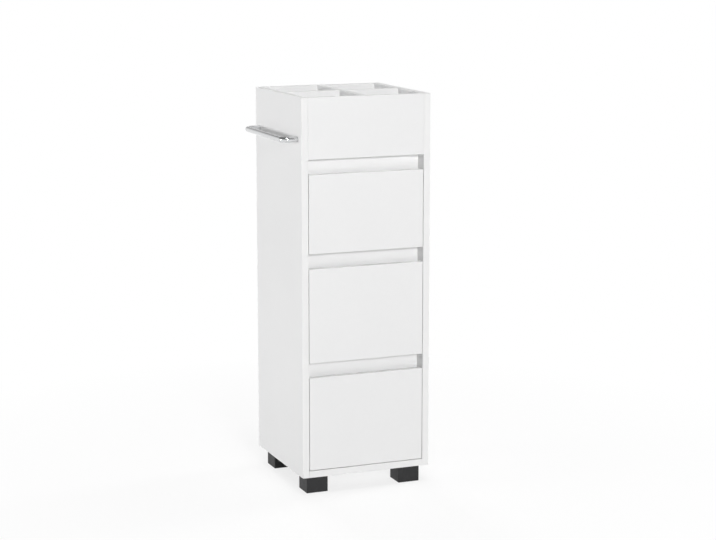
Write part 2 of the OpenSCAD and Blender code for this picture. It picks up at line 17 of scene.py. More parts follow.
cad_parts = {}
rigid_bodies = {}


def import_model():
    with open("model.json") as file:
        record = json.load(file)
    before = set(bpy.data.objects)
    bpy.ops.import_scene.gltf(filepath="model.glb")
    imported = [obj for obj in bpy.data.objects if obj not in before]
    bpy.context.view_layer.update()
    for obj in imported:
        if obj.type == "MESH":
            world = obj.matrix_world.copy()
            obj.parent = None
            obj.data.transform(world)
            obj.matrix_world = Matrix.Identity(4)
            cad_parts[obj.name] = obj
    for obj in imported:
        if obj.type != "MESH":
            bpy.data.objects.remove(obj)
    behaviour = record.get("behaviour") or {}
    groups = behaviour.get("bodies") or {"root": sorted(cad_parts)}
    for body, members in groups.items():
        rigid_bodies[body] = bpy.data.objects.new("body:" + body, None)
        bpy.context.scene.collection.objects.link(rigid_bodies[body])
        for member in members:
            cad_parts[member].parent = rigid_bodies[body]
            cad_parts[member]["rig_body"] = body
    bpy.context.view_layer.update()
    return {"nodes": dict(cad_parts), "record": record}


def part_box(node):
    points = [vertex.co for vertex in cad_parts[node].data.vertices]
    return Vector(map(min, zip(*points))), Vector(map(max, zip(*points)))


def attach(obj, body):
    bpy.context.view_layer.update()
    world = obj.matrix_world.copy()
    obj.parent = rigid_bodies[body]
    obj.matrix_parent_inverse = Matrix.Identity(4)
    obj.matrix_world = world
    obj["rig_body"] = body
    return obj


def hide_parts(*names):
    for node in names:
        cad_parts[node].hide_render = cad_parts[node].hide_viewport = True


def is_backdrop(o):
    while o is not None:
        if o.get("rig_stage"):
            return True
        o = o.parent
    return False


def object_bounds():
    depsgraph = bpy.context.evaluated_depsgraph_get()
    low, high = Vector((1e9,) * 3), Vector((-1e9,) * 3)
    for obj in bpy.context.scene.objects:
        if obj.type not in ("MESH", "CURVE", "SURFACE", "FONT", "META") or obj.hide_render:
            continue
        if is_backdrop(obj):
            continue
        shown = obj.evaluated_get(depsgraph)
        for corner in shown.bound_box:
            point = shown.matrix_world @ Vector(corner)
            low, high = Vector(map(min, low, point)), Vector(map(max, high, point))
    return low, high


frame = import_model()
MM = 0.001

# %% [markdown]
# ## Objects and meshes
#
# Two small jobs come back all the time. An object only shows when it is linked to one of
# the scene's collections. And a bmesh, which is a mesh in the making, has to be written
# into a mesh before an object can hold it.

# %% Helpers for objects and meshes
def add_object(name, data):
    """A new object that shows in the scene."""
    thing = bpy.data.objects.new(name, data)
    bpy.context.scene.collection.objects.link(thing)
    return thing


def as_mesh(bm, name):
    """Keeps a finished bmesh as a mesh."""
    mesh = bpy.data.meshes.new(name)
    bm.to_mesh(mesh)
    bm.free()
    return mesh


# %% [markdown]
# ## The camera
#
# The photograph looks down a little, from the left of the front, through a long lens. Its
# focal length in pixels, its place and its two angles were solved from the corners of the
# boards. A real studio camera would shift its lens to keep the uprights parallel. Here it
# tilts instead, with a small shift, so that the same camera also frames other views.

# %% Set up the camera
PHOTO_WIDTH = 716
FOCAL_PIXELS = 1924.3
SHIFT_PIXELS = -8
CAMERA_PLACE = Vector((-1.5427, -3.9678, 1.2513))
CAMERA_TURN = radians(21.975)
CAMERA_TILT = radians(10.141)

camera = add_object("camera", bpy.data.cameras.new("camera"))
bpy.context.scene.camera = camera
camera.data.lens = camera.data.sensor_width * FOCAL_PIXELS / PHOTO_WIDTH
camera.data.shift_y = SHIFT_PIXELS / PHOTO_WIDTH
camera.location = CAMERA_PLACE
looking = Vector((
    sin(CAMERA_TURN) * cos(CAMERA_TILT),
    cos(CAMERA_TURN) * cos(CAMERA_TILT),
    -sin(CAMERA_TILT),
))
camera.rotation_euler = looking.to_track_quat("-Z", "Y").to_euler()
bpy.context.scene.view_settings.view_transform = "Standard"
print("Lens %.1f mm, %.2f m from the tower" % (camera.data.lens, CAMERA_PLACE.length))

# %% [markdown]
# ## Shader maths
#
# A finish is a small graph of nodes, and arithmetic in it is easier to read as Python. The
# class below wraps one output socket. Adding, subtracting or multiplying it makes the Math
# node that does so, and its method `add` makes any other node: the node's settings go in
# first, and then the values or links of its sockets.

# %% A socket that does arithmetic
class Wire:
    """An output socket of a node tree. Arithmetic on it adds Math nodes."""

    def __init__(self, tree, socket=None):
        self.tree = tree
        self.socket = socket

    def add(self, kind, inputs=None, settings=None, output=0):
        """A new node of this kind, and the Wire of one of its outputs."""
        node = self.tree.nodes.new("ShaderNode" + kind)
        for name, value in (settings or {}).items():
            if name == "stops":
                set_stops(node.color_ramp, value)
            else:
                setattr(node, name, value)
        for name, value in (inputs or {}).items():
            if isinstance(value, Wire):
                self.tree.links.new(value.socket, node.inputs[name])
            else:
                node.inputs[name].default_value = value
        return Wire(self.tree, node.outputs[output])

    def maths(self, operation, first, second):
        return self.add("Math", {0: first, 1: second}, {"operation": operation})

    def __add__(self, other):
        return self.maths("ADD", self, other)

    def __sub__(self, other):
        return self.maths("SUBTRACT", self, other)

    def __rsub__(self, other):
        return self.maths("SUBTRACT", other, self)

    def __mul__(self, other):
        return self.maths("MULTIPLY", self, other)

    __radd__ = __add__
    __rmul__ = __mul__


def feed(node, socket, wire):
    """Links a wire to a socket of a node that is already there."""
    wire.tree.links.new(wire.socket, node.inputs[socket])


def tint(wire, mask, dark, light):
    """A colour that goes from dark to light with the mask."""
    return wire.add("Mix", {0: mask, 6: (*dark, 1), 7: (*light, 1)}, {"data_type": "RGBA"}, 2)


def set_stops(ramp, stops):
    """Puts a colour ramp's stops at the given places, each with a grey."""
    while len(ramp.elements) < len(stops):
        ramp.elements.new(1)
    for element, (place, grey) in zip(ramp.elements, stops):
        element.position = place
        element.color = (grey, grey, grey, 1)


# %% [markdown]
# ## Light and floor
#
# The photograph has a white background, a bright front and a slightly darker side. The
# gaps over the drawers are lit right to their back, and under each board over a gap lies
# the same thin shadow. So the main light stands in front, low, and only a little higher
# than the camera, and it is near enough to look down more steeply on the low drawer than
# on the top one, as the camera does. A second softbox high over the front lights the tray
# and the top edges of the drawer fronts. The others stand further off on the other sides,
# and a dim sky fills the rest. The background is white only to what looks straight at it
# or sees it mirrored, so it puts no extra light on the white boards. A mirror sees it get
# darker towards the ceiling, because it takes a dark stripe to make chrome look like chrome.
# Where that starts and ends is the rise of the mirrored ray: 0 is level, 1 straight up.

# %% Softboxes and sky
SKY = 0.17
WALL_TOP = 0.1
CEILING = 0.45
CEILING_GREY = 0.05
AIM = Vector((0, 0, 0.45))


def softbox(name, azimuth, elevation, distance, side, power, mirrored=False):
    """A square area lamp, seen from the tower at these angles. Azimuth 0 is the front."""
    lamp = bpy.data.lights.new(name, "AREA")
    lamp.shape = "SQUARE"
    lamp.size = side
    lamp.energy = power
    holder = add_object(name, lamp)
    holder.visible_glossy = mirrored
    turn, lift = radians(azimuth), radians(elevation)
    towards = Vector((sin(turn) * cos(lift), -cos(turn) * cos(lift), sin(lift)))
    holder.location = AIM + towards * distance
    holder.rotation_euler = towards.to_track_quat("Z", "Y").to_euler()
    print("%s: %.0f W" % (name, power))


# Azimuth and elevation are in degrees, distance and side in metres, and power in watts.
softbox("front_softbox", -7, 14, 7, 1.3, 288, mirrored=True)
softbox("left_softbox", -100, 3, 14, 3.0, 995, mirrored=True)
softbox("right_softbox", 100, 12, 14, 3.0, 1055)
softbox("rear_softbox", 180, 12, 14, 3.0, 1080)
softbox("top_softbox", -12, 75, 14, 3.0, 540, mirrored=True)

world = bpy.data.worlds.new("studio")
bpy.context.scene.world = world
world.use_nodes = True
sky = Wire(world.node_tree)
camera_sees = sky.add("LightPath", output="Is Camera Ray")
mirror_sees = sky.add("LightPath", output="Is Glossy Ray")
glass_sees = sky.add("LightPath", output="Is Transmission Ray")
upwards = sky.add("SeparateXYZ", {0: sky.add("TexCoord", output="Generated")}, output="Z")
studio = sky.add("MapRange", {
    "Value": upwards, "From Min": WALL_TOP, "From Max": CEILING,
    "To Min": 1, "To Max": CEILING_GREY,
})
seen = sky.maths("MAXIMUM", camera_sees, sky.maths("MAXIMUM", mirror_sees * studio, glass_sees))
background = world.node_tree.nodes["Background"]
background.inputs["Color"].default_value = (1, 1, 1, 1)
feed(background, "Strength", SKY + (1 - SKY) * seen)

# %% [markdown]
# The floor is a plain white sheet. Near the tower it shows the soft shadow of the feet and
# the carcass. Further out it fades into the white of the background, by its distance from
# the tower, so that no horizon shows. What it throws back onto the boards is the light of a
# grey sheet, because that gives them the brightness that they have in the photograph.

# %% Floor
FLOOR_HALF = 6
FADE_START = 0.25
FADE_END = 1.2
SHADOW_SHARE = 0.22
SEEN_GREY = 0.95
FLOOR_GREY = 0.48

bm = bmesh.new()
bmesh.ops.create_grid(bm, x_segments=1, y_segments=1, size=FLOOR_HALF)
floor = add_object("floor", as_mesh(bm, "floor"))
floor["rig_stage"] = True

paper = bpy.data.materials.new("floor_paper")
paper.use_nodes = True
sheet = Wire(paper.node_tree)
place = sheet.add("TexCoord", output="Object")
distance = sheet.add("VectorMath", {0: place}, {"operation": "LENGTH"}, output="Value")
far = sheet.add("MapRange", {"Value": distance, "From Min": FADE_START, "From Max": FADE_END})
looks = sheet.maths(
    "MAXIMUM",
    sheet.add("LightPath", output="Is Camera Ray"),
    sheet.add("LightPath", output="Is Glossy Ray"),
)
white = sheet.add("Emission", {"Color": (1, 1, 1, 1)})
matt = sheet.add("BsdfDiffuse", {"Color": tint(sheet, looks, [FLOOR_GREY] * 3, [SEEN_GREY] * 3)})
share = looks * (1 - SHADOW_SHARE * (1 - far))
shown = sheet.add("MixShader", {0: share, 1: matt, 2: white})
feed(paper.node_tree.nodes["Material Output"], "Surface", shown)
floor.data.materials.append(paper)
print("The floor fades out between %.2f and %.2f m" % (FADE_START, FADE_END))

# %% [markdown]
# ## Finishes
#
# Every finish starts as a Principled shader. What is the same all over a surface is set on
# the shader's own sockets. What changes from place to place is a pattern in the object's
# own coordinates, in metres, so a grain that is a millimetre wide has a scale of about a
# thousand.

# %% A helper for finishes
def new_finish(name, constants):
    """A material with a Principled shader, and a Wire to hang its patterns on."""
    material = bpy.data.materials.new(name)
    material.use_nodes = True
    shader = material.node_tree.nodes["Principled BSDF"]
    for socket, value in constants.items():
        shader.inputs[socket].default_value = value
    print("finish:", name)
    return material, shader, Wire(material.node_tree)


def noise(wire, scale, detail=2, roughness=0.5, stretch=(1, 1, 1)):
    """Cloudy noise from 0 to 1, with cells of about 1 / scale metres."""
    place = wire.add("TexCoord", output="Object")
    place = wire.add("Mapping", {"Vector": place, "Scale": stretch})
    return wire.add("TexNoise", {
        "Vector": place, "Scale": scale, "Detail": detail, "Roughness": roughness,
    })


def bump(wire, height, depth, strength=1.0):
    """A normal that follows the height, for a relief that is `depth` metres deep."""
    return wire.add("Bump", {"Height": height, "Distance": depth, "Strength": strength})


# %% [markdown]
# The boards are faced with paper soaked in melamine resin. It is pressed against a plate
# with a fine pearl, which leaves a satin surface of shallow pits about half a millimetre
# wide. The white is even, but a large sheet is never quite one tone: faint clouds of the
# core show through, and the sheen changes a little where it has been wiped. The grip rails
# get a whiter copy of the same facing, and its extra white is painted light: less light
# reaches the recesses over the drawers, and the whiter colour makes them look as bright as
# the fronts.

# %% Melamine facing
def make_melamine(name, dark, light):
    material, shader, wire = new_finish(name, {"IOR": 1.5})
    clouds = noise(wire, 5, detail=3)
    fibres = noise(wire, 90, detail=4, roughness=0.7)
    tone = 0.6 * clouds + 0.4 * fibres
    feed(shader, "Base Color", tint(wire, tone, dark, light))
    wiped = noise(wire, 11, detail=2, stretch=(1, 1, 0.4))
    feed(shader, "Roughness", 0.38 + 0.14 * wiped)
    pearl = noise(wire, 1700, detail=1)
    feed(shader, "Normal", bump(wire, pearl, 0.04 * MM, 0.5))
    return material


melamine = make_melamine("melamine_face", (0.835, 0.836, 0.838), (0.885, 0.884, 0.882))
# A whiter copy of the facing. Its extra white is painted light for the recesses over the
# drawers.
painted_light_melamine = make_melamine("melamine_rail_painted_light", (0.898, 0.899, 0.901), (0.944, 0.943, 0.941))

# %% [markdown]
# The cut edges are closed with a strip of white plastic. It is smoother than the facing,
# a shade brighter, and it keeps the faint lines of its extrusion along its length. A strip
# lies along X, Y or Z, so the noise that makes the lines is stretched along one of them.

# %% Edge strips
def make_edge_strip(axis):
    material, shader, wire = new_finish("edge_strip_along_" + "xyz"[axis], {"IOR": 1.5})
    rubbed = noise(wire, 30, detail=3)
    feed(shader, "Base Color", tint(wire, rubbed, (0.86, 0.86, 0.86), (0.90, 0.90, 0.895)))
    feed(shader, "Roughness", 0.26 + 0.16 * rubbed)
    stretch = [0.02 if axis == other else 1 for other in range(3)]
    lines = noise(wire, 2500, detail=1, stretch=stretch)
    feed(shader, "Normal", bump(wire, lines, 0.02 * MM, 0.4))
    return material


edge_strips = [make_edge_strip(axis) for axis in range(3)]

# %% [markdown]
# The back and the drawer bottoms are thin fibreboard with a printed white lacquer. The
# lacquer is flatter than the facing and follows the fibres, so it has a soft orange peel.

# %% Lacquered fibreboard
def make_fibreboard():
    material, shader, wire = new_finish("lacquered_fibreboard", {"IOR": 1.48})
    fibres = noise(wire, 260, detail=5, roughness=0.7)
    clouds = noise(wire, 8, detail=2)
    tone = 0.5 * fibres + 0.5 * clouds
    feed(shader, "Base Color", tint(wire, tone, (0.80, 0.80, 0.795), (0.87, 0.87, 0.865)))
    feed(shader, "Roughness", 0.5 + 0.16 * fibres)
    feed(shader, "Normal", bump(wire, noise(wire, 420, detail=3), 0.08 * MM, 0.5))
    return material


fibreboard = make_fibreboard()

# %% [markdown]
# The feet are moulded in black plastic. The mould was spark-eroded, which leaves an even
# stipple, and the black is really a dark grey that scuffs to a lighter one.

# %% Moulded plastic
def make_moulded_plastic():
    material, shader, wire = new_finish(
        "moulded_plastic", {"IOR": 1.46, "Specular IOR Level": 0.3},
    )
    scuffs = noise(wire, 70, detail=5, roughness=0.65, stretch=(1, 1, 0.5))
    scuffs = wire.add("ValToRGB", {"Fac": scuffs}, {"stops": [(0.52, 0), (0.78, 1)]})
    feed(shader, "Base Color", tint(wire, scuffs, (0.026, 0.026, 0.027), (0.042, 0.042, 0.043)))
    feed(shader, "Roughness", 0.52 + 0.18 * scuffs)
    feed(shader, "Normal", bump(wire, noise(wire, 1500, detail=2), 0.08 * MM, 0.6))
    return material


moulded_plastic = make_moulded_plastic()

# %% [markdown]
# The towel rail is chromed steel. Chrome is a clean mirror, so its look is mostly what it
# reflects, but a used bar is dulled along its length by water marks and wiping.

# %% Chrome
def make_chrome():
    material, shader, wire = new_finish("chrome", {"Metallic": 1.0})
    marks = noise(wire, 140, detail=4, roughness=0.6, stretch=(1, 0.35, 1))
    feed(shader, "Base Color", tint(wire, marks, (0.64, 0.645, 0.655), (0.70, 0.705, 0.715)))
    feed(shader, "Roughness", 0.12 + 0.07 * marks)
    return material


chrome = make_chrome()

# %% [markdown]
# The runners are rolled steel with a white epoxy powder coat, which melts into a glossy
# skin with a wide, shallow ripple. The rollers are white nylon, a little warmer and duller,
# and their treads are polished by the steel that they run on.

# %% Powder coat and nylon
def make_powder_coat():
    material, shader, wire = new_finish("powder_coat", {"IOR": 1.55})
    clouds = noise(wire, 45, detail=3)
    feed(shader, "Base Color", tint(wire, clouds, (0.79, 0.79, 0.78), (0.86, 0.86, 0.85)))
    feed(shader, "Roughness", 0.22 + 0.14 * clouds)
    feed(shader, "Normal", bump(wire, noise(wire, 700, detail=2), 0.06 * MM, 0.5))
    return material


def make_nylon():
    material, shader, wire = new_finish("nylon", {"IOR": 1.53})
    clouds = noise(wire, 220, detail=3)
    feed(shader, "Base Color", tint(wire, clouds, (0.80, 0.79, 0.75), (0.88, 0.87, 0.84)))
    feed(shader, "Roughness", 0.36 + 0.2 * clouds)
    feed(shader, "Normal", bump(wire, noise(wire, 1800, detail=1), 0.03 * MM, 0.4))
    return material


powder_coat = make_powder_coat()
nylon = make_nylon()

# %% [markdown]
# The cams, bolts and screws are die-cast or turned metal with a thin coat of zinc, which
# is bluish and cloudy. The dowels are beech, with short dark flecks along the grain.

# %% Zinc and beech
def make_zinc():
    material, shader, wire = new_finish("zinc_plate", {"Metallic": 1.0})
    crystals = noise(wire, 900, detail=3, roughness=0.6)
    feed(shader, "Base Color", tint(wire, crystals, (0.44, 0.45, 0.47), (0.60, 0.61, 0.62)))
    feed(shader, "Roughness", 0.28 + 0.22 * crystals)
    feed(shader, "Normal", bump(wire, crystals, 0.03 * MM, 0.4))
    return material


def make_beech():
    material, shader, wire = new_finish("beech", {"IOR": 1.5})
    grain = noise(wire, 900, detail=4, roughness=0.6, stretch=(0.06, 1, 1))
    feed(shader, "Base Color", tint(wire, grain, (0.42, 0.24, 0.11), (0.66, 0.45, 0.26)))
    feed(shader, "Roughness", 0.55 + 0.2 * grain)
    feed(shader, "Normal", bump(wire, grain, 0.1 * MM, 0.5))
    return material


zinc_plate = make_zinc()
beech = make_beech()

# %% [markdown]
# ## Pieces that replace a node
#
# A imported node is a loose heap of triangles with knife-sharp edges. A replacement starts
# from a copy of that mesh, so every bore and groove stays where it is. Its doubled points
# are merged, and flat neighbours are joined into whole faces, so that a bevel runs along
# a whole edge of the board. The copy also gets a layer that holds a weight for each edge,
# which says later how round the bevel makes it.

# %% A clean copy of a node
MERGE = 0.002 * MM
FLAT = radians(0.5)
WEIGHTS = "bevel_weight_edge"


def copied(node):
    """A clean bmesh of this node's mesh, with whole flat faces, and its layer of weights."""
    bm = bmesh.new()
    bm.from_mesh(frame["nodes"][node].data)
    bmesh.ops.remove_doubles(bm, verts=bm.verts, dist=MERGE)
    bmesh.ops.dissolve_limit(bm, angle_limit=FLAT, verts=bm.verts, edges=bm.edges)
    return bm, bm.edges.layers.float.new(WEIGHTS)


# %% [markdown]
# Every finished bmesh goes through the same two steps. The first makes an object of it,
# shades it smooth and marks as sharp each edge that turns more than a crease and will get
# no bevel, such as the rim of a bore. The second adds the modifiers: a bevel that reads a
# weight on each edge, and normals that follow the large faces, so that the small bevel
# takes up all the rounding and the flat stays flat. Which edges get a weight often goes by
# the six planes of the node's own box.

# %% From a bmesh to a piece
CREASE = radians(30)
NEAR = 0.01 * MM
SLOTS = {part["node"]: part["material_slot"] for part in frame["record"]["subparts"]}


def put(bm, name, node, finishes):
    """Makes a piece of the bmesh, which stands for the node and rides where it rides."""
    weights = bm.edges.layers.float.get(WEIGHTS)
    for edge in bm.edges:
        rounded = weights is not None and edge[weights] > 0
        edge.smooth = rounded or edge.calc_face_angle(0) < CREASE
    for face in bm.faces:
        face.smooth = True
    piece = add_object(name, as_mesh(bm, name))
    for finish in finishes:
        piece.data.materials.append(finish)
    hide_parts(node)
    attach(piece, frame["nodes"][node]["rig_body"])
    print("piece:", name)
    return piece


def soften(piece, width, segments=3):
    """Rounds the edges that carry a bevel weight, and keeps the flat faces flat."""
    bevel = piece.modifiers.new("rounded edges", "BEVEL")
    bevel.limit_method = "WEIGHT"
    bevel.width = width
    bevel.segments = segments
    bevel.use_clamp_overlap = False
    shading = piece.modifiers.new("flat faces", "WEIGHTED_NORMAL")
    shading.keep_sharp = True


def planes_at(point, low, high):
    """The planes of the box that the point lies on, as (axis, whether it is the high one)."""
    return {
        (axis, limit is high)
        for axis in range(3)
        for limit in (low, high)
        if abs(point[axis] - limit[axis]) < NEAR
    }


def planes_along(edge, low, high):
    """The planes of the box that the whole edge lies in."""
    one, other = (planes_at(vert.co, low, high) for vert in edge.verts)
    return one & other


# %% [markdown]
# ## Boards
#
# A board's edge strip is trimmed with a small radius, and that radius is what draws the
# thin light lines round every front in the photograph. The edges on the outer face of a
# side panel and round a drawer front are eased most. An edge that butts against another
# board is eased less, so the joint stays a hairline. The bevel reads these two sizes as
# weights on the edges of the board's own box. The narrow faces get the strip whose lines
# run along them. A board that is bolted between the side panels is cut a hair short, as on
# a real bench, so that a thin dark line shows where it meets them.

# %% One board
EASED = 0.5 * MM
HAIRLINE_SHARE = 0.35
CUT_SHORT = 0.3 * MM


def cut_short(bm, low, high):
    """Takes a hair off both ends of a board that stands between the side panels."""
    for vert in bm.verts:
        if abs(vert.co.x - low.x) < NEAR:
            vert.co.x += CUT_SHORT
        elif abs(vert.co.x - high.x) < NEAR:
            vert.co.x -= CUT_SHORT


def lay_strips(bm, low, high):
    """Gives each narrow face of a board the strip whose lines run along that face."""
    sides = high - low
    thin = min(range(3), key=lambda axis: sides[axis])
    for face in bm.faces:
        across = max(range(3), key=lambda axis: abs(face.normal[axis]))
        if across != thin and planes_at(face.calc_center_median(), low, high):
            along = ({0, 1, 2} - {thin, across}).pop()
            face.material_index = 1 + along


def make_board(node, eased=(), between_sides=False, facing=melamine):
    """A faced board with trimmed edges. `eased` names the planes whose edges are round."""
    low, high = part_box(node)
    bm, weights = copied(node)
    for edge in bm.edges:
        shared = planes_along(edge, low, high)
        if len(shared) == 2:
            edge[weights] = 1.0 if shared & set(eased) else HAIRLINE_SHARE
    if SLOTS[node] == "thin_board":
        finishes = [fibreboard]
    else:
        finishes = [facing] + edge_strips
        lay_strips(bm, low, high)
    if between_sides:
        cut_short(bm, low, high)
    soften(put(bm, node + "_board", node, finishes), EASED)


# %% [markdown]
# The carcass: two side panels, the bottom, the tray with its crossed dividers, the three
# grip rails behind the finger gaps, and the thin back in its grooves.

# %% Carcass boards
LEFT, RIGHT = (0, False), (0, True)
FRONT = (1, False)
UNDER, OVER = (2, False), (2, True)
LEVELS = ("low", "middle", "top")

make_board("side_panel_left", [LEFT, OVER, UNDER])
make_board("side_panel_right", [RIGHT, OVER, UNDER])
make_board("bottom_panel", between_sides=True)
make_board("tray_floor", between_sides=True)
make_board("tray_front", [OVER, LEFT, RIGHT], between_sides=True)
make_board("tray_back", [OVER], between_sides=True)
make_board("divider_long", [OVER])
make_board("divider_cross", [OVER])
# The grip rails take the whiter facing. It is painted light that makes up for the light that the
# recesses lose.
for level in LEVELS:
    make_board("grip_rail_" + level, between_sides=True, facing=painted_light_melamine)
make_board("back_panel")

# %% [markdown]
# Each drawer is a front with four trimmed edges, and a box of thinner boards behind it.

# %% Drawer boards
for level in LEVELS:
    drawer = "drawer_" + level
    make_board(drawer + "_front", [FRONT, OVER, UNDER, LEFT, RIGHT])
    for side in ("_side_left", "_side_right", "_back"):
        make_board(drawer + side, [OVER])
    make_board(drawer + "_bottom")

# %% [markdown]
# ## Feet
#
# A foot is one moulded block with its upright corners already round. Two bores from below
# lead to the screws. What the copy lacks is the small radius that a mould leaves round the
# sole and round the bores in it, and the finer one where the foot meets the board.

# %% One foot
FOOT_EASED = 0.7 * MM


def make_foot(node):
    """A foot whose sole and top have moulded edges."""
    low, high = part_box(node)
    bm, weights = copied(node)
    for edge in bm.edges:
        shared = planes_along(edge, low, high)
        turns = edge.calc_face_angle(0) > CREASE
        if turns and UNDER in shared:
            edge[weights] = 1.0
        elif turns and OVER in shared:
            edge[weights] = HAIRLINE_SHARE
    soften(put(bm, node + "_block", node, [moulded_plastic]), FOOT_EASED)


for corner in ("front_left", "front_right", "back_left", "back_right"):
    make_foot("foot_" + corner)

# %% [markdown]
# ## Towel rail
#
# The rail is one steel bar, bent twice and then chromed. It is made as it is on a bending
# bench: a round section is drawn out of the side panel, turned through a quarter circle,
# drawn along the panel, turned back and drawn in again. Its size is read from the packed
# node, and only the radius of the bends is a value of its own. Each end is drilled for
# the screw that holds it.

# %% Bending the bar
RAIL_BEND = 13 * MM
RAIL_SIDES = 48
BEND_STEPS = 20
TAP_RADIUS = 2.1 * MM
TAP_DEPTH = 16 * MM
TAP_TAPER = 0.01 * MM


def only(kind, elements):
    """The vertices or the edges among what an operator gives back."""
    return [element for element in elements if isinstance(element, kind)]


def draw_out(bm, ring, way):
    """Draws a ring of edges out along a way, and gives the new ring."""
    drawn = bmesh.ops.extrude_edge_only(bm, edges=ring)["geom"]
    bmesh.ops.translate(bm, vec=way, verts=only(bmesh.types.BMVert, drawn))
    return [edge for edge in only(bmesh.types.BMEdge, drawn) if edge.is_boundary]


def bend(bm, ring, centre, angle):
    """Turns a ring of edges about an upright axis, and gives the new ring."""
    turned = bmesh.ops.spin(
        bm, geom=ring, cent=centre, axis=(0, 0, 1), angle=angle, steps=BEND_STEPS,
        use_merge=False, use_duplicate=False,
    )["geom_last"]
    return only(bmesh.types.BMEdge, turned)


def make_towel_rail():
    """The bar with its two bends and its drilled ends."""
    low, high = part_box("towel_rail")
    radius = (high.z - low.z) / 2
    arm = high.x - low.x - radius - RAIL_BEND
    bar = high.y - low.y - 2 * (radius + RAIL_BEND)
    start = Vector((high.x, low.y + radius, low.z + radius))
    first = start + Vector((-arm, RAIL_BEND, 0))
    second = first + Vector((0, bar, 0))
    bm = bmesh.new()
    bmesh.ops.create_circle(
        bm, segments=RAIL_SIDES, radius=radius,
        matrix=Matrix.Translation(start) @ Matrix.Rotation(tau / 4, 4, "Y"),
    )
    ring = draw_out(bm, bm.edges[:], Vector((-arm, 0, 0)))
    ring = bend(bm, ring, first, -tau / 4)
    ring = draw_out(bm, ring, Vector((0, bar, 0)))
    ring = bend(bm, ring, second, -tau / 4)
    draw_out(bm, ring, Vector((arm, 0, 0)))
    rims = [edge for edge in bm.edges if edge.is_boundary]
    caps = bmesh.ops.holes_fill(bm, edges=rims)["faces"]
    bmesh.ops.recalc_face_normals(bm, faces=bm.faces)
    bmesh.ops.inset_region(bm, faces=caps, thickness=radius - TAP_RADIUS, use_even_offset=True)
    bmesh.ops.inset_region(bm, faces=caps, thickness=TAP_TAPER, depth=-TAP_DEPTH)
    put(bm, "towel_rail_bar", "towel_rail", [chrome])
    print("towel rail: %.0f mm of straight bar" % (bar / MM))


make_towel_rail()

# %% [markdown]
# ## Fittings
#
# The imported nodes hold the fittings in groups, such as all the screws of the runners. To
# put a better screw in the place of each one, the group is taken apart into loose pieces.
# A screw is known by its pointed tip. A cam lock is a flat drum, known by its two longest
# sides, which are equal. The ends of a screw also say which way it was driven.

# %% Taking a group apart
POINT_RADIUS = 0.5 * MM


def loose_parts(bm):
    """The groups of vertices that hang together, in the order of their lowest corners."""
    waiting = set(bm.verts)
    parts = []
    while waiting:
        rim = {waiting.pop()}
        part = set(rim)
        while rim:
            rim = {edge.other_vert(vert) for vert in rim for edge in vert.link_edges} - part
            part |= rim
        waiting -= part
        parts.append(list(part))
    return sorted(parts, key=lambda part: tuple(corners(part)[0]))


def corners(part):
    """The lowest and the highest corner of a group of vertices."""
    places = [vert.co for vert in part]
    return Vector(map(min, zip(*places))), Vector(map(max, zip(*places)))


def ends_of(part):
    """A turned piece's two ends, the narrow one first, as (radius, middle)."""
    low, high = corners(part)
    sides = high - low
    longest = max(range(3), key=lambda axis: sides[axis])
    ends = []
    for level in (low[longest], high[longest]):
        middle = (low + high) / 2
        middle[longest] = level
        ring = [vert.co for vert in part if abs(vert.co[longest] - level) < NEAR]
        ends.append((max((place - middle).length for place in ring), middle))
    return sorted(ends, key=lambda end: end[0])


# %% [markdown]
# A turned piece, such as a screw or a roller, starts as half of its outline and is spun
# about the Z axis. Its poles and its seam are merged, and its normals worked out again.
# The finished shape is kept as a mesh, like a stamp, and each copy is turned to its place.

# %% Spinning and stamping
def spun(outline, steps, closed=False):
    """A bmesh of an outline of (radius, height) points, turned about the Z axis."""
    bm = bmesh.new()
    points = [bm.verts.new((radius, 0, height)) for radius, height in outline]
    if closed:
        points.append(points[0])
    for first, second in zip(points, points[1:]):
        bm.edges.new((first, second))
    bmesh.ops.spin(
        bm, geom=bm.verts[:] + bm.edges[:], axis=(0, 0, 1), angle=tau, steps=steps,
        use_merge=True, use_duplicate=False,
    )
    bmesh.ops.remove_doubles(bm, verts=bm.verts, dist=MERGE)
    bmesh.ops.recalc_face_normals(bm, faces=bm.faces)
    return bm


def stamp(bm, shape, place, towards):
    """Adds a copy of the shape at a place, with its +Z turned towards a direction."""
    turned = towards.to_track_quat("Z", "Y").to_matrix().to_4x4()
    copy = shape.copy()
    copy.transform(Matrix.Translation(place) @ turned)
    bm.from_mesh(copy)
    bpy.data.meshes.remove(copy)


# %% [markdown]
# The wood screws are countersunk, with a crossed recess. The flat of the head is cut by
# planes into strips, and those that form the cross are sunk. The sizes of the recess are
# shares of the head's radius.

# %% The head of a countersunk screw
ARM_LENGTH = 0.56
ARM_WIDTH = 0.15
RECESS_DEPTH = 0.42
RECESS_TAPER = 0.05


def flat_on_top(bm):
    """The faces of a head that lie flat at z = 0."""
    return [face for face in bm.faces if all(abs(vert.co.z) < NEAR for vert in face.verts)]


def sink_cross(bm, head_radius):
    """Sinks a cross into the head, with its arms along X and Y."""
    length, width = ARM_LENGTH * head_radius, ARM_WIDTH * head_radius
    bmesh.ops.dissolve_faces(bm, faces=flat_on_top(bm))
    for across in (Vector((1, 0, 0)), Vector((0, 1, 0))):
        for place in (-length, -width, width, length):
            disc = flat_on_top(bm)
            edges = {edge for face in disc for edge in face.edges}
            bmesh.ops.bisect_plane(
                bm, geom=disc + list(edges), plane_co=across * place, plane_no=across,
            )
    cross = []
    for face in flat_on_top(bm):
        near, far = sorted(abs(value) for value in face.calc_center_median().xy)
        if near < width and far < length:
            cross.append(face)
    bmesh.ops.inset_region(
        bm, faces=cross, thickness=RECESS_TAPER * head_radius,
        depth=-RECESS_DEPTH * head_radius, use_even_offset=True,
    )


# %% [markdown]
# The outline of a screw has a few rings for each turn of its thread. The thread is cut by
# drawing the points of these rings in towards the axis along a helix, down to the blunt tip.

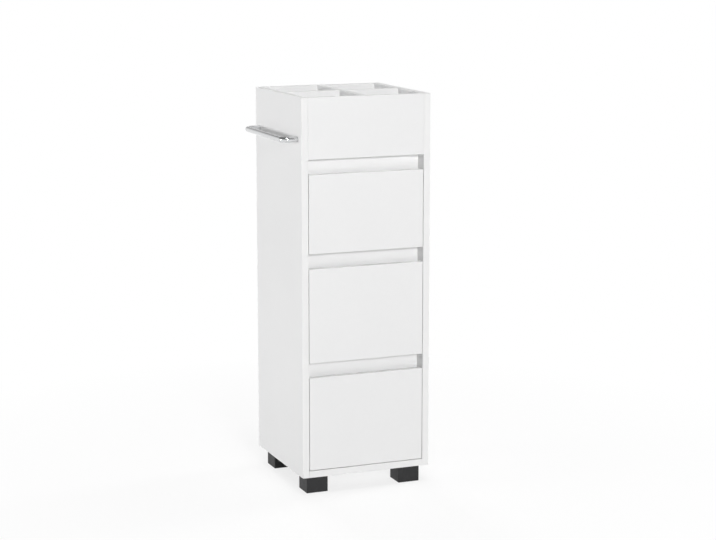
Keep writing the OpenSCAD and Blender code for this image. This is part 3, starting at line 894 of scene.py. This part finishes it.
# %% A countersunk wood screw
SCREW_STEPS = 16
RINGS_PER_TURN = 4
THREAD_DEPTH = 0.26
PITCH_SHARE = 0.42
NECK_SHARE = 0.6
BLUNT = 0.3 * MM
RIM_WIDTH = 0.15 * MM
RIM_HEIGHT = 0.12 * MM


def make_screw(length, thickness):
    """A screw with its head at z = 0 and its point up. The head is twice as wide."""
    radius = thickness / 2
    neck = NECK_SHARE * thickness
    pitch = PITCH_SHARE * thickness
    step = pitch / RINGS_PER_TURN
    slope = (radius - BLUNT) / thickness
    outline = [(0, 0), (thickness - RIM_WIDTH, 0), (thickness, RIM_HEIGHT), (radius, neck)]
    for ring in range(1, int((length - neck) / step)):
        height = neck + ring * step
        outline.append((min(radius, BLUNT + (length - height) * slope), height))
    bm = spun(outline + [(BLUNT, length), (0, length)], SCREW_STEPS)
    for vert in bm.verts:
        if neck + NEAR < vert.co.z < length - NEAR:
            climb = (vert.co.z / pitch - atan2(vert.co.y, vert.co.x) / tau) % 1
            vert.co.xy = vert.co.xy * (1 - THREAD_DEPTH * (1 - abs(2 * climb - 1)))
    sink_cross(bm, thickness)
    return as_mesh(bm, "screw_shape")


# %% [markdown]
# The rest of a group stays as it was packed. A cam lock is a die-cast drum, so the edges
# of its flat end with the crossed slots get a small radius.

# %% Fittings
CAST_EASED = 0.25 * MM
ROUND_SHARE = 0.95
screw_shapes = {}


def screw_shape(length, thickness):
    """The stamp for screws of this size, made once."""
    key = (round(length / MM, 1), round(thickness / MM, 1))
    if key not in screw_shapes:
        screw_shapes[key] = make_screw(length, thickness)
        print("screw %.0f x %.1f mm" % key)
    return screw_shapes[key]


def open_end(part, axis):
    """The edges of a drum's end that has the slots, which is the end with more edges."""
    low, high = corners(part)
    ends = {(axis, False): [], (axis, True): []}
    for edge in {edge for vert in part for edge in vert.link_edges}:
        for plane in planes_along(edge, low, high) & set(ends):
            if edge.calc_face_angle(0) > CREASE:
                ends[plane].append(edge)
    return max(ends.values(), key=len)


def make_fittings(node):
    """The fittings of a node, with threaded screws and cast edges."""
    bm, weights = copied(node)
    screws, spent = [], []
    for part in loose_parts(bm):
        low, high = corners(part)
        sides = high - low
        thin, wide, widest = sorted(range(3), key=lambda axis: sides[axis])
        (tip_radius, tip), (head_radius, head) = ends_of(part)
        if tip_radius < POINT_RADIUS:
            screws.append((head, tip - head, head_radius))
            spent += part
        elif sides[wide] > ROUND_SHARE * sides[widest]:
            for edge in open_end(part, thin):
                edge[weights] = 1.0
    bmesh.ops.delete(bm, geom=spent, context="VERTS")
    for head, driven, thickness in screws:
        stamp(bm, screw_shape(driven.length, thickness), head, driven)
    soften(put(bm, node + "_set", node, [zinc_plate]), CAST_EASED, segments=2)
    print("%s: %d screws" % (node, len(screws)))


make_fittings("foot_screws")
make_fittings("runner_screws")
make_fittings("cam_locks")
for level in LEVELS:
    make_fittings("drawer_" + level + "_fixings")

# %% [markdown]
# The towel rail's own screws are machine screws with a slotted pan head, and they show
# inside the tray. Their heads get the crown that a pan head has, and the level edges of the
# slot are only broken.

# %% Screws of the towel rail
PAN_EASED = 0.7 * MM
SLOT_SHARE = 0.15


def make_rail_screws(node):
    """Both screws, with crowned heads."""
    low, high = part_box(node)
    bm, weights = copied(node)
    for edge in bm.edges:
        if RIGHT in planes_along(edge, low, high) and edge.calc_face_angle(0) > CREASE:
            is_level = abs(edge.verts[0].co.z - edge.verts[1].co.z) < NEAR
            edge[weights] = SLOT_SHARE if is_level else 1.0
    soften(put(bm, node + "_pair", node, [zinc_plate]), PAN_EASED)


make_rail_screws("towel_rail_screws")

# %% [markdown]
# ## Runners
#
# A runner is steel strip, folded lengthwise in a roll mill and then powder coated. A fold
# has a large radius outside and a small one inside, and the sheared edges are only broken
# by the coat. All three run the whole length, so the bevel weights go by the faces on both
# sides of each long edge: narrow ones are the sheared edges, and the rest are folds.

# %% One runner
FOLD_OUTSIDE = 1.2 * MM
INSIDE_SHARE = 0.35
SHEARED_SHARE = 0.12
NARROW = 1.3 * MM
LONG = 5 * MM


def is_narrow(face):
    """Whether a long face is only as wide as the steel is thick."""
    low, high = corners(face.verts)
    return max(high.x - low.x, high.z - low.z) < NARROW


def make_runner(node):
    """A channel or a rail with folds along its length."""
    bm, weights = copied(node)
    for edge in bm.edges:
        way = edge.verts[1].co - edge.verts[0].co
        along = abs(way.y) > LONG and abs(way.x) < NEAR and abs(way.z) < NEAR
        if along and len(edge.link_faces) == 2 and edge.calc_face_angle(0) > CREASE:
            if any(is_narrow(face) for face in edge.link_faces):
                edge[weights] = SHEARED_SHARE
            else:
                edge[weights] = 1.0 if edge.calc_face_angle_signed(0) > 0 else INSIDE_SHARE
    soften(put(bm, node + "_steel", node, [powder_coat]), FOLD_OUTSIDE)


for level in LEVELS:
    for side in ("left", "right"):
        make_runner("runner_%s_%s" % (level, side))
        make_runner("drawer_%s_runner_%s" % (level, side))

# %% [markdown]
# A roller is moulded in nylon. Its tread is crowned a little so that it doesn't bind, and
# its sides are cored out between the hub and the rim, with four ribs, to save material and
# to keep the walls even as they cool.

# %% The shape of a roller
ROLLER_STEPS = 24
RIB_EVERY = 6
BORE = 2.05 * MM
HUB = 3.6 * MM
RIM = 6.3 * MM
CHAMFER = 0.2 * MM
SHOULDER = 0.6 * MM
CROWN = 0.05 * MM
CORE_DEPTH = 0.8 * MM
CORE_TAPER = 0.12 * MM


def make_roller(radius, half_width):
    """A roller about the Z axis, with its middle at the origin."""
    side = [
        (BORE, half_width - CHAMFER), (BORE + CHAMFER, half_width),
        (HUB, half_width), (RIM, half_width), (radius - SHOULDER, half_width),
        (radius - CHAMFER, half_width - CHAMFER), (radius - CROWN, half_width - SHOULDER),
    ]
    other_side = [(distance, -height) for distance, height in reversed(side)]
    bm = spun(side + [(radius, 0)] + other_side, ROLLER_STEPS, closed=True)
    cores = []
    for face in bm.faces:
        middle = face.calc_center_median()
        flat = all(half_width - abs(vert.co.z) < NEAR for vert in face.verts)
        sector = int(atan2(middle.y, middle.x) / tau * ROLLER_STEPS % ROLLER_STEPS)
        if flat and HUB < middle.xy.length < RIM and sector % RIB_EVERY:
            cores.append(face)
    bmesh.ops.inset_region(
        bm, faces=cores, thickness=CORE_TAPER, depth=-CORE_DEPTH, use_even_offset=True,
    )
    return as_mesh(bm, "roller_shape")


# %% [markdown]
# The same stamp serves all twelve rollers. Their size and their places are read from the
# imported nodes, each of which holds a pair.

# %% Rollers in their places
def roller_boxes(node):
    """The two corners of each roller of a node."""
    packed = copied(node)[0]
    boxes = [corners(part) for part in loose_parts(packed)]
    packed.free()
    return boxes


def make_rollers(node):
    """Both rollers of a node, each at its own pin."""
    bm = bmesh.new()
    for low, high in roller_boxes(node):
        stamp(bm, roller_shape, (low + high) / 2, Vector((1, 0, 0)))
    put(bm, node + "_pair", node, [nylon])


low, high = roller_boxes("runner_rollers_low")[0]
roller_shape = make_roller((high.z - low.z) / 2, (high.x - low.x) / 2)
for level in LEVELS:
    make_rollers("runner_rollers_" + level)
    make_rollers("drawer_" + level + "_rollers")

# %% [markdown]
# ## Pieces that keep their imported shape
#
# The dowels and the bolts of the cams are turned pieces that were packed with all their
# steps and chamfers, and they sit inside the boards. They only get their finish.

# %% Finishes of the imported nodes
FINISHES = {"zinc": zinc_plate, "beech": beech}
for name, node in frame["nodes"].items():
    if not node.hide_render:
        node.data.materials.clear()
        node.data.materials.append(FINISHES[SLOTS[name]])
        print("packed shape kept:", name)

# %% [markdown]
# ## Size
#
# The box that the dressed tower fills is printed.

# %% The dressed tower's box
low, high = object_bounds()
print("visual box:", [round(value, 4) for corner in (low, high) for value in corner])
